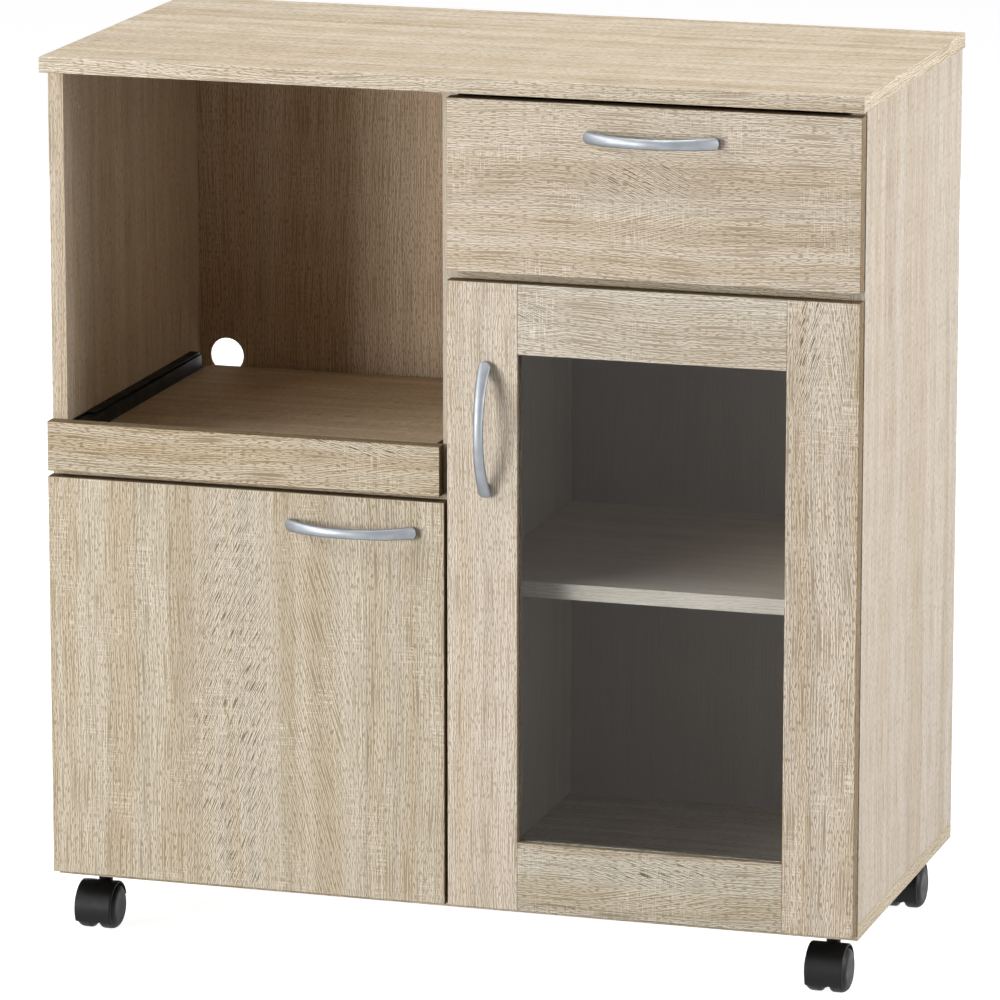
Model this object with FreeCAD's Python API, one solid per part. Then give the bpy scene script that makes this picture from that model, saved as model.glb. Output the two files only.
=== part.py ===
import FreeCAD
import Part
import math
import os

Vector = FreeCAD.Vector

# Kitchen cart on casters. Millimetres, +X right, +Y to the back, +Z up,
# origin on the floor under the middle of the whole box, handles included.

# Overall
top_width = 800.0
top_depth = 400.0
overall_height = 860.0
caster_height = 58.0

# Boards
board = 15.0
front_board = 15.0
drawer_board = 12.0
back_board = 3.0

# How the carcass and the fronts sit
side_overhang = 2.0
front_setback = 2.0
front_standoff = 2.0
front_edge_inset = 0.5
centre_gap = 3.0
back_edge_inset = 1.0
edge_round = 0.8

# Heights of the fronts
top_reveal = 4.5
drawer_front_height = 163.0
drawer_door_gap = 9.0
bay_height = 336.0
strip_height = 48.0
strip_door_gap = 5.5
strip_partition_relief = 4.5
bottom_reveal = 6.5

# Pull-out shelf, bay floor, divider and cabinet shelf
strip_below_board = 14.0
pullout_rear_gap = 10.0
divider_below_drawer_front = 1.5
shelf_rise = 300.0
shelf_setback = 35.0
shelf_side_clearance = 1.0
cable_hole_radius = 17.5
cable_hole_from_side = 29.0
cable_hole_above_board = 8.5

# Drawer box
drawer_floor_clearance = 14.0
drawer_side_height = 115.0
drawer_groove_height = 8.0
drawer_groove_depth = 5.0
groove_clearance = 0.1

# Glass door
stile_width = 69.0
rail_width = 67.0
glass_thickness = 4.0
glass_groove_depth = 8.0
glass_groove_clearance = 0.2
glass_edge_clearance = 1.0

# Roller runners
runner_gap = 12.5
runner_length = 350.0
runner_front_gap = 1.0
runner_steel = 1.2
rail_width_out = 10.0
moving_rail_foot = 10.0
rail_above_foot = 12.0
roller_radius = 7.0
roller_width = 6.0
roller_end = 12.0
roller_clearance = 0.3
roller_pin_radius = 2.0
running_clearance = 0.05
flange_clearance = 0.8
flange_end_gap = 2.4
roller_inset = 3.0
flange_from_front = 47.0

# Bow handles
handle_length = 129.5
handle_projection = 30.0
handle_mid_width = 9.8
handle_end_width = 12.8
handle_mid_thickness = 7.2
handle_end_thickness = 6.0
handle_tip_lift = 2.0
handle_past_tip = 1.1
handle_rings = 5
handle_post_radius = 4.5
handle_screw_spacing = 112.0
handle_screw_radius = 1.6
handle_screw_bite = 8.0
handle_screw_head_radius = 4.0
handle_screw_head = 2.4
handle_drop = 30.0
handle_end_inset = 26.0
glass_handle_drop = 74.5
glass_handle_from_edge = 38.5
screw_clearance = 0.1

# Concealed cup hinges, across from the side panel's inner face and along from its front edge
hinge_from_ends = 90.0
cup_radius = 17.5
cup_depth = 11.5
cup_wall = 1.2
cup_edge_distance = 22.5
cup_clearance = 0.1
cup_ear_width = 13.0
cup_ear_reach = 26.0
cup_ear_thickness = 0.8
arm_pin_across = 18.8
arm_pin_along = -7.7
cup_pin_across = -0.7
cup_pin_along = -3.7
hinge_pin_radius = 1.2
link_eye_radius = 2.4
link_thickness = 2.4
link_half_width = 6.0
cheek_thickness = 2.0
cheek_clearance = 0.3
cheek_eye_radius = 2.6
arm_lift = 5.0
arm_height = 10.0
arm_front = 10.0
arm_rear = 60.0
plate_front = 24.0
plate_rear = 50.0
plate_half_width = 9.0
plate_ear_front = 30.0
plate_ear_rear = 44.0
plate_ear_reach = 22.0
plate_ear_thickness = 2.5
plate_screw_spacing = 32.0

# Wood screws for runners and hinge plates
wood_screw_radius = 1.6
wood_screw_bite = 11.0
wood_screw_head_radius = 3.2
wood_screw_head = 1.2
runner_screw_from_ends = 55.0

# Dowels, cam bolts and cam locks
dowel_radius = 4.0
dowel_in_edge = 20.0
dowel_in_face = 10.0
cam_radius = 7.5
cam_depth = 12.5
cam_distance = 34.0
cam_bolt_radius = 3.0
connector_clearance = 0.1
dowel_from_edges = 80.0
cam_from_edges = 45.0

# Shelf pins
shelf_pin_radius = 2.5
shelf_pin_bite = 9.0
shelf_pin_reach = 8.0
shelf_pin_from_edges = 45.0

# Casters
caster_inset_side = 33.0
caster_inset_depth = 40.0
wheel_radius = 22.0
wheel_width = 17.5
wheel_gap = 6.5
wheel_tread_round = 4.0
wheel_hub_radius = 13.0
wheel_dome = 4.0
axle_radius = 2.5
trail = 16.0
hood_clearance = 1.0
hood_wall = 2.0
hood_width = 37.0
hood_edge_round = 1.6
hood_web_clearance = 0.5
hood_skirt_front = 9.0
hood_skirt_rear = 30.0
boss_radius = 6.75
boss_gap = 0.5
stem_radius = 4.0
stem_in_boss = 13.5
stem_in_panel = 12.0
socket_wall = 1.5

# Planes worked out from the values above
handle_past_top = handle_projection - front_setback
y_top_front = (handle_past_top - top_depth) / 2
y_top_rear = y_top_front + top_depth
y_front = y_top_front + front_setback
y_front_back = y_front + front_board
y_carcass = y_front_back + front_standoff
y_carcass_rear = y_top_rear - back_board

x_side_out = top_width / 2 - side_overhang
x_side_in = x_side_out - board
x_partition = board / 2
x_front_out = x_side_out - front_edge_inset
x_front_in = centre_gap / 2

z_top = overall_height
z_top_under = z_top - board
z_body = caster_height
z_bottom_top = z_body + board

z_drawer_front_top = z_top_under - top_reveal
z_drawer_front_bottom = z_drawer_front_top - drawer_front_height
z_glass_door_top = z_drawer_front_bottom - drawer_door_gap
z_doors_bottom = z_body + bottom_reveal
z_strip_top = z_top_under - bay_height
z_strip_bottom = z_strip_top - strip_height
z_left_door_top = z_strip_bottom - strip_door_gap
z_bay_floor = z_strip_bottom
z_pullout_under = z_strip_bottom + strip_below_board
z_pullout = z_pullout_under + board
z_divider = z_drawer_front_bottom - divider_below_drawer_front
z_drawer_under = z_divider + drawer_floor_clearance
z_shelf = z_bottom_top + shelf_rise

boards = {}
holes = {}


def block(x, y, z):
    corner = Vector(x[0], y[0], z[0])
    return Part.makeBox(x[1] - x[0], y[1] - y[0], z[1] - z[0], corner)


def rod(radius, start, end):
    along = end - start
    return Part.makeCylinder(radius, along.Length, start, along)


def tube(outer, inner, start, end):
    return rod(outer, start, end).cut(rod(inner, start, end))


def prism(points, z):
    corners = [Vector(p[0], p[1], z[0]) for p in points]
    face = Part.Face(Part.makePolygon(corners + [corners[0]]))
    return face.extrude(Vector(0, 0, z[1] - z[0]))


def joined(*solids):
    return solids[0].fuse(list(solids[1:])).removeSplitter()


def drill(panel, tool):
    holes.setdefault(panel, []).append(tool)


def save(node, solids):
    shape = solids[0] if len(solids) == 1 else Part.makeCompound(solids)
    shape.exportStep("parts/" + node + ".step")


# Carcass boards

carcass_depth = (y_carcass, y_carcass_rear)
side_height = (z_bottom_top, z_top_under)
left_opening = (-x_side_in, -x_partition)
right_opening = (x_partition, x_side_in)

boards["top_panel"] = block((-top_width / 2, top_width / 2), (y_top_front, y_top_rear), (z_top_under, z_top))
boards["bottom_panel"] = block((-x_side_out, x_side_out), carcass_depth, (z_body, z_bottom_top))
boards["left_side_panel"] = block((-x_side_out, -x_side_in), carcass_depth, side_height)
boards["right_side_panel"] = block((x_side_in, x_side_out), carcass_depth, side_height)
boards["centre_partition"] = block((-x_partition, x_partition), carcass_depth, side_height)
boards["bay_floor"] = block(left_opening, carcass_depth, (z_bay_floor - board, z_bay_floor))
boards["drawer_divider"] = block(right_opening, carcass_depth, (z_divider - board, z_divider))

back_depth = (y_carcass_rear, y_top_rear)
back_height = (z_body + back_edge_inset, z_top_under)
x_back_out = x_side_out - back_edge_inset
boards["back_panel_left"] = block((-x_back_out, 0), back_depth, back_height)
boards["back_panel_right"] = block((0, x_back_out), back_depth, back_height)

cable_hole = Vector(-x_side_in + cable_hole_from_side, y_carcass_rear, z_pullout + cable_hole_above_board)
drill("back_panel_left", rod(cable_hole_radius, cable_hole, cable_hole + Vector(0, back_board, 0)))

# The loose shelf behind the glass door, on four pins
x_shelf = (right_opening[0] + shelf_side_clearance, right_opening[1] - shelf_side_clearance)
y_shelf = (y_carcass + shelf_setback, y_carcass_rear)
boards["cabinet_shelf"] = block(x_shelf, y_shelf, (z_shelf - board, z_shelf))

shelf_pins = []
z_pin = z_shelf - board - shelf_pin_radius
for panel, x_face, inwards in (("centre_partition", right_opening[0], 1), ("right_side_panel", right_opening[1], -1)):
    for y in (y_shelf[0] + shelf_pin_from_edges, y_shelf[1] - shelf_pin_from_edges):
        foot = Vector(x_face - inwards * shelf_pin_bite, y, z_pin)
        tip = Vector(x_face + inwards * shelf_pin_reach, y, z_pin)
        shelf_pins.append(rod(shelf_pin_radius, foot, tip))
        drill(panel, rod(shelf_pin_radius + connector_clearance, foot, tip))

# Dowels and cam fittings: an edge panel butts on a face panel

dowels = []
cam_bolts = []
cam_locks = []


def add_dowel(edge_panel, face_panel, joint, into_face):
    start = joint - into_face * dowel_in_edge
    end = joint + into_face * dowel_in_face
    dowels.append(rod(dowel_radius, start, end))
    hole = rod(dowel_radius + connector_clearance, start, end)
    drill(edge_panel, hole)
    drill(face_panel, hole)


def add_cam(edge_panel, face_panel, joint, into_face, cam_face):
    centre = joint - into_face * cam_distance
    base = centre + cam_face * (board / 2 - cam_depth)
    rim = centre + cam_face * (board / 2)
    end = joint + into_face * dowel_in_face
    bolt_hole = rod(cam_bolt_radius + connector_clearance, centre, end)
    cam_bolts.append(rod(cam_bolt_radius, centre, end))
    cam_locks.append(rod(cam_radius, base, rim).cut(bolt_hole))
    drill(edge_panel, bolt_hole)
    drill(edge_panel, rod(cam_radius + connector_clearance, base, rim))
    drill(face_panel, bolt_hole)


def fasten(edge_panel, face_panel, x, z, into_face, cam_face):
    for y in (y_carcass + dowel_from_edges, y_carcass_rear - dowel_from_edges):
        add_dowel(edge_panel, face_panel, Vector(x, y, z), into_face)
    for y in (y_carcass + cam_from_edges, y_carcass_rear - cam_from_edges):
        add_cam(edge_panel, face_panel, Vector(x, y, z), into_face, cam_face)


right = Vector(1, 0, 0)
left = Vector(-1, 0, 0)
up = Vector(0, 0, 1)
down = Vector(0, 0, -1)
x_side_middle = (x_side_in + x_side_out) / 2
uprights = (("left_side_panel", -x_side_middle, right), ("centre_partition", 0, right),
            ("right_side_panel", x_side_middle, left))
for upright, x, cam_face in uprights:
    fasten(upright, "top_panel", x, z_top_under, up, cam_face)
    fasten(upright, "bottom_panel", x, z_bottom_top, down, cam_face)
z_floor_middle = z_bay_floor - board / 2
z_divider_middle = z_divider - board / 2
fasten("bay_floor", "left_side_panel", -x_side_in, z_floor_middle, left, down)
fasten("bay_floor", "centre_partition", -x_partition, z_floor_middle, right, down)
fasten("drawer_divider", "centre_partition", x_partition, z_divider_middle, left, down)
fasten("drawer_divider", "right_side_panel", x_side_in, z_divider_middle, right, down)

# Roller runners: a rail on the cabinet wall and a rail on the moving piece, 'foot' is the height of its underside

y_rail = (y_carcass + runner_front_gap, y_carcass + runner_front_gap + runner_length)
y_moving = (y_front_back, y_front_back + runner_length)
y_front_roller = y_rail[0] + roller_end
y_rear_roller = y_moving[1] - roller_end
roller_height = rail_above_foot + runner_steel + roller_clearance + roller_radius
flange_under = roller_height + roller_radius + roller_clearance
rail_top = flange_under + runner_steel + flange_clearance + runner_steel
runner_screws = []


def across(x_wall, inwards, near, far):
    ends = (x_wall + inwards * near, x_wall + inwards * far)
    return (min(ends), max(ends))


def cabinet_rail(panel, x_wall, inwards, foot):
    low = foot + rail_above_foot
    high = foot + rail_top
    wall = across(x_wall, inwards, 0, runner_steel)
    flange = across(x_wall, inwards, 0, rail_width_out)
    rail = joined(block(wall, y_rail, (low, high)),
                  block(flange, y_rail, (low, low + runner_steel)),
                  block(flange, (y_rail[0] + flange_from_front, y_rail[1]), (high - runner_steel, high)),
                  rod(roller_pin_radius, Vector(x_wall + inwards * runner_steel, y_front_roller, foot + roller_height),
                      Vector(x_wall + inwards * (roller_inset + roller_width), y_front_roller, foot + roller_height)))
    for y in (y_rail[0] + runner_screw_from_ends, y_rail[1] - runner_screw_from_ends):
        face = Vector(x_wall + inwards * runner_steel, y, foot + roller_height)
        tip = Vector(x_wall - inwards * wood_screw_bite, y, foot + roller_height)
        head = face + Vector(inwards * wood_screw_head, 0, 0)
        runner_screws.append(joined(rod(wood_screw_radius, tip, face), rod(wood_screw_head_radius, face, head)))
        hole = rod(wood_screw_radius + connector_clearance, tip, face)
        drill(panel, hole)
        rail = rail.cut(hole)
    return rail


def moving_rail(x_wall, inwards, foot):
    web = across(x_wall, inwards, runner_gap - runner_steel, runner_gap)
    under = across(x_wall, inwards, runner_gap - runner_steel, runner_gap + moving_rail_foot)
    flange = across(x_wall, inwards, flange_end_gap, runner_gap)
    top = foot + flange_under + runner_steel
    return joined(block(web, y_moving, (foot - runner_steel, top)),
                  block(under, y_moving, (foot - runner_steel, foot)),
                  block(flange, y_moving, (foot + flange_under, top)),
                  rod(roller_pin_radius, Vector(x_wall + inwards * (runner_gap - runner_steel), y_rear_roller, foot + roller_height),
                      Vector(x_wall + inwards * roller_inset, y_rear_roller, foot + roller_height)))


def roller(x_wall, inwards, y, foot):
    start = Vector(x_wall + inwards * roller_inset, y, foot + roller_height)
    end = start + Vector(inwards * roller_width, 0, 0)
    return tube(roller_radius, roller_pin_radius + running_clearance, start, end)


def runner_pair(opening, panels, foot):
    walls = ((panels[0], opening[0], 1), (panels[1], opening[1], -1))
    rails = [cabinet_rail(panel, x, inwards, foot) for panel, x, inwards in walls]
    moving = [moving_rail(x, inwards, foot) for panel, x, inwards in walls]
    front_rollers = [roller(x, inwards, y_front_roller, foot) for panel, x, inwards in walls]
    rear_rollers = [roller(x, inwards, y_rear_roller, foot) for panel, x, inwards in walls]
    return rails, moving, front_rollers, rear_rollers


# Pull-out shelf

pullout_runners = runner_pair(left_opening, ("left_side_panel", "centre_partition"), z_pullout_under)
x_pullout = (left_opening[0] + runner_gap, left_opening[1] - runner_gap)
boards["pullout_board"] = block(x_pullout, (y_front_back, y_carcass_rear - pullout_rear_gap), (z_pullout_under, z_pullout))
x_strip = (-x_front_out, -x_front_in - strip_partition_relief)
boards["pullout_front_strip"] = block(x_strip, (y_front, y_front_back), (z_strip_bottom, z_strip_top))

pullout_dowels = []
for x in (x_pullout[0] + dowel_from_edges, x_pullout[1] - dowel_from_edges):
    joint = Vector(x, y_front_back, z_pullout_under + board / 2)
    start = joint + Vector(0, dowel_in_edge, 0)
    end = joint - Vector(0, dowel_in_face, 0)
    pullout_dowels.append(rod(dowel_radius, start, end))
    for piece in ("pullout_board", "pullout_front_strip"):
        drill(piece, rod(dowel_radius + connector_clearance, start, end))

# Drawer

drawer_runners = runner_pair(right_opening, ("centre_partition", "right_side_panel"), z_drawer_under)
x_box = (right_opening[0] + runner_gap, right_opening[1] - runner_gap)
y_box = (y_front_back, y_front_back + runner_length)
z_box = (z_drawer_under, z_drawer_under + drawer_side_height)
x_inner = (x_box[0] + drawer_board, x_box[1] - drawer_board)
z_drawer_floor = z_drawer_under + drawer_groove_height
x_drawer_front = (x_front_in, x_front_out)
boards["drawer_front"] = block(x_drawer_front, (y_front, y_front_back), (z_drawer_front_bottom, z_drawer_front_top))
boards["drawer_left_side"] = block((x_box[0], x_inner[0]), y_box, z_box)
boards["drawer_right_side"] = block((x_inner[1], x_box[1]), y_box, z_box)
boards["drawer_back"] = block(x_inner, (y_box[1] - drawer_board, y_box[1]), (z_drawer_floor + back_board, z_box[1]))
x_floor = (x_inner[0] - drawer_groove_depth, x_inner[1] + drawer_groove_depth)
y_floor = (y_front_back - drawer_groove_depth, y_box[1])
boards["drawer_bottom"] = block(x_floor, y_floor, (z_drawer_floor, z_drawer_floor + back_board))
z_groove = (z_drawer_floor - groove_clearance, z_drawer_floor + back_board)
x_groove = (x_floor[0] - groove_clearance, x_floor[1] + groove_clearance)
y_groove = (y_floor[0] - groove_clearance, y_floor[1])
for piece in ("drawer_front", "drawer_left_side", "drawer_right_side"):
    drill(piece, block(x_groove, y_groove, z_groove))

# Doors

z_left_door = (z_doors_bottom, z_left_door_top)
z_glass_door = (z_doors_bottom, z_glass_door_top)
front_depth = (y_front, y_front_back)
boards["left_door_panel"] = block((-x_front_out, -x_front_in), front_depth, z_left_door)

x_stiles = (x_front_in + stile_width, x_front_out - stile_width)
z_rails = (z_doors_bottom + rail_width, z_glass_door_top - rail_width)
boards["glass_door_handle_stile"] = block((x_front_in, x_stiles[0]), front_depth, z_glass_door)
boards["glass_door_hinge_stile"] = block((x_stiles[1], x_front_out), front_depth, z_glass_door)
boards["glass_door_top_rail"] = block(x_stiles, front_depth, (z_rails[1], z_glass_door_top))
boards["glass_door_bottom_rail"] = block(x_stiles, front_depth, (z_doors_bottom, z_rails[0]))

pane_tuck = glass_groove_depth - glass_edge_clearance
y_pane = ((y_front + y_front_back - glass_thickness) / 2, (y_front + y_front_back + glass_thickness) / 2)
x_pane = (x_stiles[0] - pane_tuck, x_stiles[1] + pane_tuck)
z_pane = (z_rails[0] - pane_tuck, z_rails[1] + pane_tuck)
boards["glass_pane"] = block(x_pane, y_pane, z_pane)
pane_groove = block((x_stiles[0] - glass_groove_depth, x_stiles[1] + glass_groove_depth),
                    (y_pane[0] - glass_groove_clearance, y_pane[1] + glass_groove_clearance),
                    (z_rails[0] - glass_groove_depth, z_rails[1] + glass_groove_depth))
for piece in ("glass_door_handle_stile", "glass_door_hinge_stile", "glass_door_top_rail", "glass_door_bottom_rail"):
    drill(piece, pane_groove)

# Eased edges on the top, on the faces of the fronts and along the seam under the sides


def ease(name, chosen):
    edges = [edge for edge in boards[name].Edges if chosen(edge.BoundBox)]
    boards[name] = boards[name].makeFillet(edge_round, edges)


def any_edge(span):
    return True


def face_edge(span):
    return span.YLength < edge_round


def long_face_edge(span):
    return span.XLength > rail_width


def outer_seam_edge(span):
    level = abs(span.ZMin - z_bottom_top) < edge_round and abs(span.ZMax - z_bottom_top) < edge_round
    outer = abs(abs(span.XMin) - x_side_out) < edge_round and span.XLength < edge_round
    return level and outer


ease("top_panel", any_edge)
for panel in ("bottom_panel", "left_side_panel", "right_side_panel"):
    ease(panel, outer_seam_edge)
for front in ("drawer_front", "pullout_front_strip", "left_door_panel", "glass_door_handle_stile", "glass_door_hinge_stile"):
    ease(front, face_edge)
for rail in ("glass_door_top_rail", "glass_door_bottom_rail"):
    ease(rail, long_face_edge)

# Bow handles


def bow_handle():
    half = handle_length / 2
    crest = handle_projection - handle_mid_thickness / 2
    rise = crest - handle_tip_lift
    bend = (half ** 2 + rise ** 2) / (2 * rise)
    swing = math.asin(half / bend)
    rings = []
    for step in range(-handle_rings, handle_rings + 1):
        share = handle_past_tip * step / handle_rings
        outwards = Vector(math.sin(swing * share), -math.cos(swing * share), 0)
        middle = Vector(0, bend - crest, 0) + outwards * bend
        width = handle_mid_width + (handle_end_width - handle_mid_width) * share ** 2
        thickness = handle_mid_thickness + (handle_end_thickness - handle_mid_thickness) * share ** 2
        oval = Part.Ellipse(middle + up * (width / 2), middle + outwards * (thickness / 2), middle)
        rings.append(Part.Wire(oval.toShape()))
    bow = Part.makeLoft(rings, True)
    tip_radius = handle_end_width / 2
    outward = Vector(0, -handle_projection, 0)
    slab = block((tip_radius - half, half - tip_radius), (-handle_projection, 0), (-tip_radius, tip_radius))
    ends = [Vector(side * (half - tip_radius), 0, 0) for side in (-1, 1)]
    bow = bow.common(joined(slab, *[rod(tip_radius, end, end + outward) for end in ends]))
    posts = []
    bores = []
    for side in (-1, 1):
        x = side * handle_screw_spacing / 2
        mouth = Vector(x, 0, 0)
        posts.append(rod(handle_post_radius, mouth, Vector(x, bend - crest - math.sqrt(bend ** 2 - x ** 2), 0)))
        bores.append(rod(handle_screw_radius + screw_clearance, mouth, mouth - Vector(0, handle_screw_bite, 0)))
    return joined(bow, *posts).cut(bores)


def handle_screws():
    screws = []
    for side in (-1, 1):
        tip = Vector(side * handle_screw_spacing / 2, screw_clearance - handle_screw_bite, 0)
        neck = Vector(side * handle_screw_spacing / 2, front_board, 0)
        head = neck + Vector(0, handle_screw_head, 0)
        screws.append(joined(rod(handle_screw_radius, tip, neck), rod(handle_screw_head_radius, neck, head)))
    return screws


def fit_handle(panel, centre, upright):
    turn = FreeCAD.Rotation(Vector(0, 1, 0), 90 if upright else 0)
    place = FreeCAD.Placement(centre, turn)
    solids = [bow_handle()] + handle_screws()
    for solid in solids:
        solid.Placement = place
    for side in (-1, 1):
        offset = turn.multVec(Vector(side * handle_screw_spacing / 2, 0, 0))
        start = centre + offset
        drill(panel, rod(handle_screw_radius + screw_clearance, start, start + Vector(0, front_board, 0)))
    return solids[0], solids[1:]


drawer_handle_at = Vector((x_front_in + x_front_out) / 2, y_front, z_drawer_front_top - handle_drop)
left_handle_at = Vector(-x_front_in - handle_end_inset - handle_length / 2, y_front, z_left_door_top - handle_drop)
glass_handle_at = Vector(x_front_in + glass_handle_from_edge, y_front, z_glass_door_top - glass_handle_drop - handle_length / 2)
drawer_handle, drawer_handle_screws = fit_handle("drawer_front", drawer_handle_at, False)
left_door_handle, left_door_handle_screws = fit_handle("left_door_panel", left_handle_at, False)
glass_door_handle, glass_door_handle_screws = fit_handle("glass_door_handle_stile", glass_handle_at, True)

# Cup hinges. Local frame: +X across from the side panel's inner face into the cabinet,
# Y along from the side panel's front edge, Z up from the hinge's middle.

door_edge_across = x_side_in - x_front_out
cup_across = door_edge_across + cup_edge_distance
door_back_along = -front_standoff
arm_half_width = link_half_width + cheek_clearance + cheek_thickness
hinge_screws = []


def hinge_cup():
    rim = Vector(cup_across, door_back_along, 0)
    floor = rim - Vector(0, cup_depth, 0)
    bowl = rod(cup_radius - cup_clearance, floor, rim)
    bowl = bowl.cut(rod(cup_radius - cup_clearance - cup_wall, floor + Vector(0, cup_wall, 0), rim))
    ear_x = (cup_across - cup_ear_width / 2, cup_across + cup_ear_width / 2)
    ear_y = (door_back_along, door_back_along + cup_ear_thickness)
    upper = block(ear_x, ear_y, (cup_radius - cup_clearance - cup_wall, cup_ear_reach))
    lower = block(ear_x, ear_y, (-cup_ear_reach, cup_clearance + cup_wall - cup_radius))
    reach = math.sqrt((cup_radius - cup_clearance - cup_wall / 2) ** 2 - (cup_across - cup_pin_across) ** 2)
    pin = rod(hinge_pin_radius, Vector(cup_pin_across, cup_pin_along, -reach), Vector(cup_pin_across, cup_pin_along, reach))
    return joined(bowl, upper, lower, pin)


def hinge_link():
    cup_pin = Vector(cup_pin_across, cup_pin_along, -link_half_width)
    arm_pin = Vector(arm_pin_across, arm_pin_along, -link_half_width)
    rise = Vector(0, 0, 2 * link_half_width)
    along = arm_pin - cup_pin
    aside = Vector(-along.y, along.x, 0).normalize() * (link_thickness / 2)
    bar = prism([cup_pin + aside, arm_pin + aside, arm_pin - aside, cup_pin - aside], (-link_half_width, link_half_width))
    link = joined(bar, rod(link_eye_radius, cup_pin, cup_pin + rise), rod(link_eye_radius, arm_pin, arm_pin + rise))
    for pin in (cup_pin, arm_pin):
        link = link.cut(rod(hinge_pin_radius + running_clearance, pin, pin + rise))
    return link


def hinge_arm():
    body = block((arm_lift, arm_lift + arm_height), (arm_front, arm_rear), (-arm_half_width, arm_half_width))
    pieces = [body]
    eye = Vector(arm_pin_across, arm_pin_along, 0)
    outline = [(arm_lift, arm_front), (arm_pin_across - cheek_eye_radius, arm_pin_along),
               (arm_pin_across + cheek_eye_radius, arm_pin_along), (arm_lift + arm_height, arm_front)]
    for side in (-1, 1):
        near = side * (link_half_width + cheek_clearance)
        far = side * arm_half_width
        z = (min(near, far), max(near, far))
        pieces.append(prism(outline, z))
        pieces.append(rod(cheek_eye_radius, Vector(eye.x, eye.y, z[0]), Vector(eye.x, eye.y, z[1])))
    pieces.append(rod(hinge_pin_radius, Vector(eye.x, eye.y, -arm_half_width), Vector(eye.x, eye.y, arm_half_width)))
    return joined(*pieces)


def hinge_plate():
    body = block((0, arm_lift), (plate_front, plate_rear), (-plate_half_width, plate_half_width))
    ears = block((0, plate_ear_thickness), (plate_ear_front, plate_ear_rear), (-plate_ear_reach, plate_ear_reach))
    plate = joined(body, ears)
    for tip, face in plate_screw_line():
        plate = plate.cut(rod(wood_screw_radius + connector_clearance, tip, face))
    return plate


def plate_screw_line():
    y = (plate_ear_front + plate_ear_rear) / 2
    lines = []
    for z in (-plate_screw_spacing / 2, plate_screw_spacing / 2):
        lines.append((Vector(-wood_screw_bite, y, z), Vector(plate_ear_thickness, y, z)))
    return lines


def plate_screws():
    screws = []
    for tip, face in plate_screw_line():
        head = face + Vector(wood_screw_head, 0, 0)
        screws.append(joined(rod(wood_screw_radius, tip, face), rod(wood_screw_head_radius, face, head)))
    return screws


def set_hinge(solid, side, z):
    if side > 0:
        solid = solid.mirror(Vector(0, 0, 0), Vector(1, 0, 0))
    solid.translate(Vector(side * x_side_in, y_carcass, z))
    return solid


def door_hinges(door_panel, side_panel, side, z_door):
    cups = []
    links = []
    arms = []
    plates = []
    for z in (z_door[0] + hinge_from_ends, z_door[1] - hinge_from_ends):
        cups.append(set_hinge(hinge_cup(), side, z))
        links.append(set_hinge(hinge_link(), side, z))
        arms.append(set_hinge(hinge_arm(), side, z))
        plates.append(set_hinge(hinge_plate(), side, z))
        hinge_screws.extend(set_hinge(screw, side, z) for screw in plate_screws())
        rim = Vector(cup_across, door_back_along, 0)
        drill(door_panel, set_hinge(rod(cup_radius, rim - Vector(0, cup_depth, 0), rim), side, z))
        for tip, face in plate_screw_line():
            drill(side_panel, set_hinge(rod(wood_screw_radius + connector_clearance, tip, face), side, z))
    return cups, links, arms, plates


left_hinges = door_hinges("left_door_panel", "left_side_panel", -1, z_left_door)
glass_hinges = door_hinges("glass_door_hinge_stile", "right_side_panel", 1, z_glass_door)

# Casters, made about a stem on the Z axis with the wheels in front of it

x_caster = x_side_out - caster_inset_side
caster_stands = (("front_left", -x_caster, y_carcass + caster_inset_depth),
                 ("front_right", x_caster, y_carcass + caster_inset_depth),
                 ("rear_left", -x_caster, y_carcass_rear - caster_inset_depth),
                 ("rear_right", x_caster, y_carcass_rear - caster_inset_depth))
axle_at = Vector(0, -trail, wheel_radius)
wheel_inner = wheel_gap / 2
wheel_outer = wheel_inner + wheel_width
boss_top = z_body - boss_gap
stem_foot = boss_top - stem_in_boss


def wheel(side):
    flat = wheel_outer - wheel_dome
    points = [Vector(wheel_inner, axle_radius, 0), Vector(wheel_inner, wheel_radius - wheel_tread_round, 0),
              Vector(wheel_inner + wheel_tread_round, wheel_radius, 0), Vector(flat - wheel_tread_round, wheel_radius, 0),
              Vector(wheel_outer, wheel_hub_radius, 0), Vector(wheel_outer, axle_radius, 0)]
    slope = math.sqrt(0.5) * wheel_tread_round
    inner_mid = points[1] + Vector(wheel_tread_round - slope, slope, 0)
    dome_mid = (points[3] + points[4]) / 2 + Vector(wheel_dome / 2, wheel_dome / 2, 0)
    edges = [Part.makeLine(points[0], points[1]), Part.Arc(points[1], inner_mid, points[2]).toShape(),
             Part.makeLine(points[2], points[3]), Part.Arc(points[3], dome_mid, points[4]).toShape(),
             Part.makeLine(points[4], points[5]), Part.makeLine(points[5], points[0])]
    solid = Part.Face(Part.Wire(edges)).revolve(Vector(0, 0, 0), Vector(1, 0, 0), 360)
    if side < 0:
        solid = solid.mirror(Vector(0, 0, 0), Vector(1, 0, 0))
    return solid


def wheel_pair():
    axle = rod(axle_radius - running_clearance, Vector(-wheel_outer, 0, 0), Vector(wheel_outer, 0, 0))
    solids = [wheel(-1), wheel(1), axle]
    for solid in solids:
        solid.translate(axle_at)
    return solids


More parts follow.
